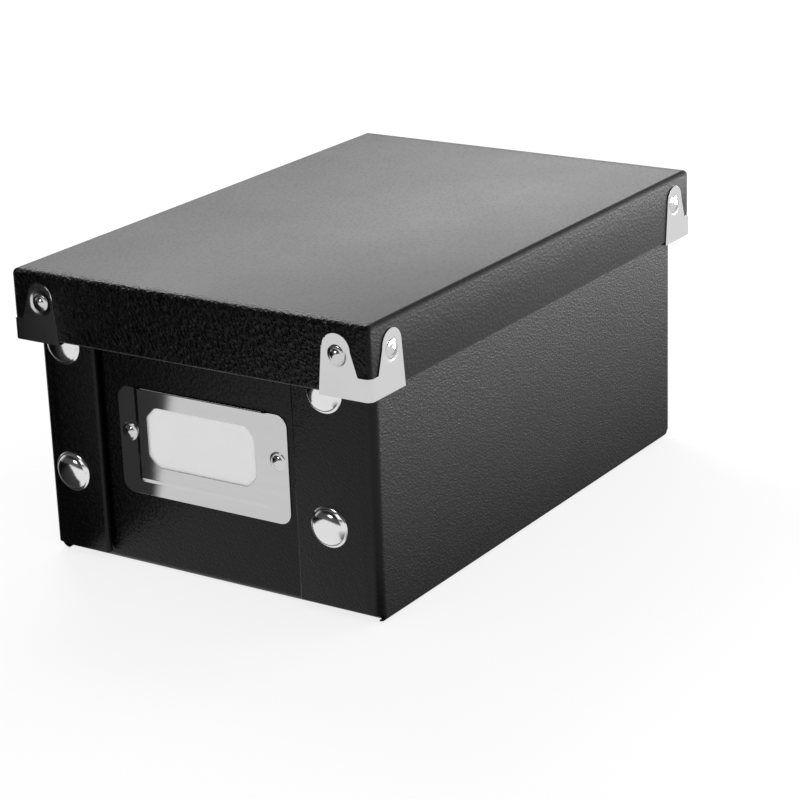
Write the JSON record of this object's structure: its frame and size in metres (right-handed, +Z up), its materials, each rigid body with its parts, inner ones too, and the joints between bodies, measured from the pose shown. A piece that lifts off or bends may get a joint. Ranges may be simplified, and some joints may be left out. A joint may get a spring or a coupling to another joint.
{
  "type": "index card box",
  "caption": "Black leather-grain card box with a lift-off lid, metal lid corners, snap-fastened corner flaps, folding end panels and a framed label on the front.",
  "frame": {"origin": "on the floor, under the middle of the closed box", "axes": "+Z up; the labelled front faces -Y; +X is to the right seen from the front"},
  "size_m": [0.1714, 0.254, 0.1207],
  "materials": {
    "cover": "black leather-grain cover, satin",
    "lining": "black paper, matt",
    "board": "dense grey-brown fibreboard, matt",
    "corner_plate": "nickel-plated stamped steel, polished",
    "rivet": "nickel-plated, polished",
    "snap": "chromed, polished",
    "holder": "nickel-plated thin steel, satin",
    "card": "blank white card"
  },
  "bodies": {
    "base": {"bottom_cover": "cover", "left_side_cover": "cover", "right_side_cover": "cover", "left_side_crease": "cover", "right_side_crease": "cover", "front_fold_crease": "cover", "rear_fold_crease": "cover", "front_left_flap_cover": "cover", "front_right_flap_cover": "cover", "rear_left_flap_cover": "cover", "rear_right_flap_cover": "cover", "front_left_corner_crease": "cover", "front_right_corner_crease": "cover", "rear_left_corner_crease": "cover", "rear_right_corner_crease": "cover", "bottom_lining": "lining", "left_side_lining": "lining", "right_side_lining": "lining", "bottom_board": "board", "left_side_board": "board", "right_side_board": "board", "front_left_flap_board": "board", "front_right_flap_board": "board", "rear_left_flap_board": "board", "rear_right_flap_board": "board", "front_left_snap_caps": "snap", "front_right_snap_caps": "snap", "rear_left_snap_caps": "snap", "rear_right_snap_caps": "snap", "front_left_snap_sockets": "snap", "front_right_snap_sockets": "snap", "rear_left_snap_sockets": "snap", "rear_right_snap_sockets": "snap"},
    "lid": {"lid_cover": "cover", "lid_lining": "lining", "lid_top_board": "board", "lid_front_skirt_board": "board", "lid_rear_skirt_board": "board", "lid_left_skirt_board": "board", "lid_right_skirt_board": "board", "front_left_corner_plate": "corner_plate", "front_right_corner_plate": "corner_plate", "rear_left_corner_plate": "corner_plate", "rear_right_corner_plate": "corner_plate", "corner_rivets": "rivet"},
    "front_end": {"front_panel_board": "board", "front_panel_cover": "cover", "front_panel_lining": "lining", "front_snap_studs": "snap", "front_snap_posts": "snap", "label_holder": "holder", "label_rivets": "rivet"},
    "rear_end": {"rear_panel_board": "board", "rear_panel_cover": "cover", "rear_panel_lining": "lining", "rear_snap_studs": "snap", "rear_snap_posts": "snap"},
    "label_card": {"label_card": "card"}
  },
  "joints": [
    {"name": "lid_lift", "type": "slide", "parent": "base", "child": "lid", "axis": [0, 0, 1], "range_m": [0, 0.06]},
    {"name": "front_fold", "type": "hinge", "parent": "base", "child": "front_end", "pos_m": [0, -0.1107, 0.003], "axis": [-1, 0, 0], "range_deg": [0, 88]},
    {"name": "rear_fold", "type": "hinge", "parent": "base", "child": "rear_end", "pos_m": [0, 0.1107, 0.003], "axis": [1, 0, 0], "range_deg": [0, 85]},
    {"name": "label_slide", "type": "slide", "parent": "front_end", "child": "label_card", "axis": [0, 0, 1], "range_m": [0, 0.037]}
  ]
}
